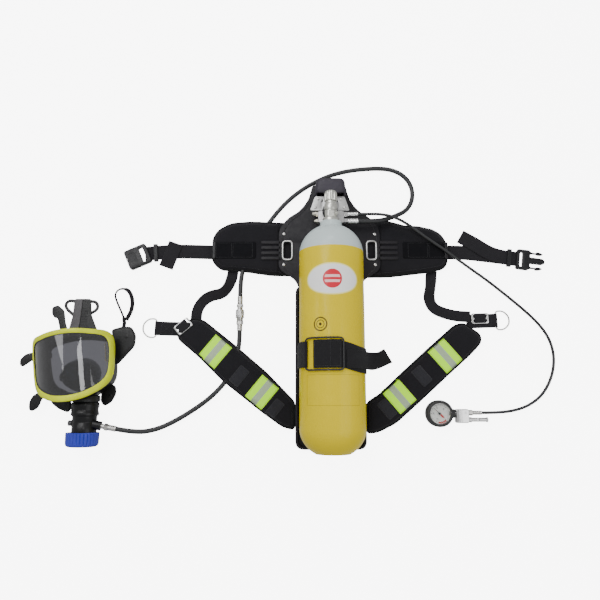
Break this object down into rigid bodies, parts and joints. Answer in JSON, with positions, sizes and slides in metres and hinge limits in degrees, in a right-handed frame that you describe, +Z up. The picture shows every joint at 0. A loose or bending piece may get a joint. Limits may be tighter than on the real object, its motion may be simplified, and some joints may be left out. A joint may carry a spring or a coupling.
{
  "type": "self-contained breathing apparatus air pack",
  "caption": "Breathing air cylinder on a moulded back plate, with padded harness, pressure reducer, hoses, gauge, demand valve and full face mask, laid out flat.",
  "frame": {"origin": "on the back plate's rear rest face, on the floor, under the cylinder's axis and level with the middle of the apparatus", "axes": "+X across the harness towards the pressure gauge's side, +Y along the cylinder towards its valve, +Z up from the floor, away from the wearer"},
  "size_m": [1.3475, 0.7414, 0.1852],
  "materials": {
    "plate_plastic": "moulded, fine grain",
    "guard_rubber": "matt black",
    "rim_chrome": "polished",
    "screw_steel": "plain",
    "wrap_paint": "glossy lacquer over a wound wrap",
    "liner_aluminium": "machined neck",
    "strap_web": "woven",
    "belt_web": "herringbone woven",
    "harness_rubber": "matt",
    "valve_brass": "plated",
    "knob_rubber": "ribbed",
    "reducer_metal": "plated",
    "small_brass": "plain",
    "fitting_chrome": "polished",
    "hose_rubber": "smooth matt",
    "pad_fabric": "quilted",
    "panel_rubber": "matt",
    "buckle_plastic": "fine grain",
    "gauge_rubber": "matt",
    "gauge_metal": "plain",
    "dial_face": "luminous white print",
    "needle_red": "matt",
    "clear_lens": "clear",
    "visor_lens": "smoke tint",
    "mask_rubber": "matt",
    "mask_frame_plastic": "glossy",
    "nose_silicone": "smooth",
    "valve_housing": "glossy",
    "cap_blue": "satin",
    "button_red": "satin",
    "ring_steel": "bright"
  },
  "bodies": {
    "pack": {"back_plate": "plate_plastic", "valve_guard": "guard_rubber", "slot_rims": "rim_chrome", "plate_screws": "screw_steel", "cradle_saddles": "guard_rubber", "cylinder_wrap": "wrap_paint", "cylinder_liner": "liner_aluminium", "cylinder_strap": "strap_web", "strap_ring": "ring_steel", "strap_tail": "strap_web", "valve_body": "valve_brass", "reducer_body": "reducer_metal", "reducer_bracket": "reducer_metal", "relief_valve": "small_brass", "reducer_fittings": "fitting_chrome", "thick_hose_upper": "hose_rubber", "coupler_plug": "fitting_chrome", "coupler_socket": "fitting_chrome", "thick_hose_lower": "hose_rubber", "gauge_hose": "hose_rubber", "hose_ferrules": "fitting_chrome", "whistle_block": "fitting_chrome", "whistle": "fitting_chrome", "gauge_boot": "gauge_rubber", "gauge_case": "gauge_metal", "gauge_dial": "dial_face", "gauge_lens": "clear_lens", "hip_pad_left": "pad_fabric", "hip_pad_right": "pad_fabric", "hip_panels": "panel_rubber", "waist_webs": "belt_web", "waist_tails": "belt_web", "web_keepers": "buckle_plastic", "buckle_female": "buckle_plastic", "buckle_male": "buckle_plastic", "shoulder_pad_left": "pad_fabric", "shoulder_pad_right": "pad_fabric", "shoulder_webs": "belt_web", "adjusters": "ring_steel", "d_ring_tabs": "belt_web", "mask_body": "mask_rubber", "mask_frame": "mask_frame_plastic", "mask_lens": "visor_lens", "nose_cup": "nose_silicone", "mask_lugs": "mask_rubber", "head_harness": "harness_rubber", "side_loops": "ring_steel", "neck_strap": "harness_rubber", "demand_valve": "valve_housing"},
    "knob": {"valve_knob": "valve_brass"},
    "handwheel": {"coupling_handwheel": "knob_rubber"},
    "sleeve": {"coupler_sleeve": "fitting_chrome"},
    "needle": {"gauge_needle": "needle_red"},
    "ring_left": {"d_ring_left": "ring_steel"},
    "ring_right": {"d_ring_right": "ring_steel"},
    "arm_a": {"arm_upper": "buckle_plastic"},
    "arm_b": {"arm_lower": "buckle_plastic"},
    "cap": {"purge_cap": "cap_blue"},
    "button": {"release_button": "button_red"}
  },
  "joints": [
    {"name": "valve_turn", "type": "hinge", "parent": "pack", "child": "knob", "pos_m": [0, 0.28, 0.1], "axis": [0, 1, 0], "range_deg": [0, 810]},
    {"name": "handwheel_turn", "type": "hinge", "parent": "pack", "child": "handwheel", "pos_m": [0, 0.25, 0.073], "axis": [0, 0, 1], "range_deg": [0, 810]},
    {"name": "coupler_release", "type": "slide", "parent": "pack", "child": "sleeve", "axis": [0, -1, 0], "range_m": [0, 0.006], "stiffness_N_per_m": 400, "springref_m": -0.002},
    {"name": "pressure_needle", "type": "hinge", "parent": "pack", "child": "needle", "pos_m": [0.268, -0.253, 0.022], "axis": [0, 0, 1], "range_deg": [-90, 180]},
    {"name": "ring_left_swing", "type": "hinge", "parent": "pack", "child": "ring_left", "pos_m": [-0.444, -0.039, 0.0049], "axis": [0.0349, 0.9994, 0], "range_deg": [0, 150]},
    {"name": "ring_right_swing", "type": "hinge", "parent": "pack", "child": "ring_right", "pos_m": [0.426, -0.019, 0.0049], "axis": [0.0349, -0.9994, 0], "range_deg": [0, 150]},
    {"name": "arm_upper_bend", "type": "hinge", "parent": "pack", "child": "arm_a", "pos_m": [0.52691, 0.15725, 0.008], "axis": [0, 0, -1], "range_deg": [0, 8], "stiffness_Nm_per_rad": 0.6, "springref_deg": -1.15},
    {"name": "arm_lower_bend", "type": "hinge", "parent": "pack", "child": "arm_b", "pos_m": [0.52175, 0.11859, 0.008], "axis": [0, 0, 1], "range_deg": [0, 8], "stiffness_Nm_per_rad": 0.6, "springref_deg": -1.15},
    {"name": "purge_press", "type": "slide", "parent": "pack", "child": "cap", "axis": [0, 1, 0], "range_m": [0, 0.003], "stiffness_N_per_m": 900, "springref_m": -0.002},
    {"name": "release_press", "type": "slide", "parent": "pack", "child": "button", "axis": [1, 0, 0], "range_m": [0, 0.003], "stiffness_N_per_m": 500, "springref_m": -0.002}
  ]
}
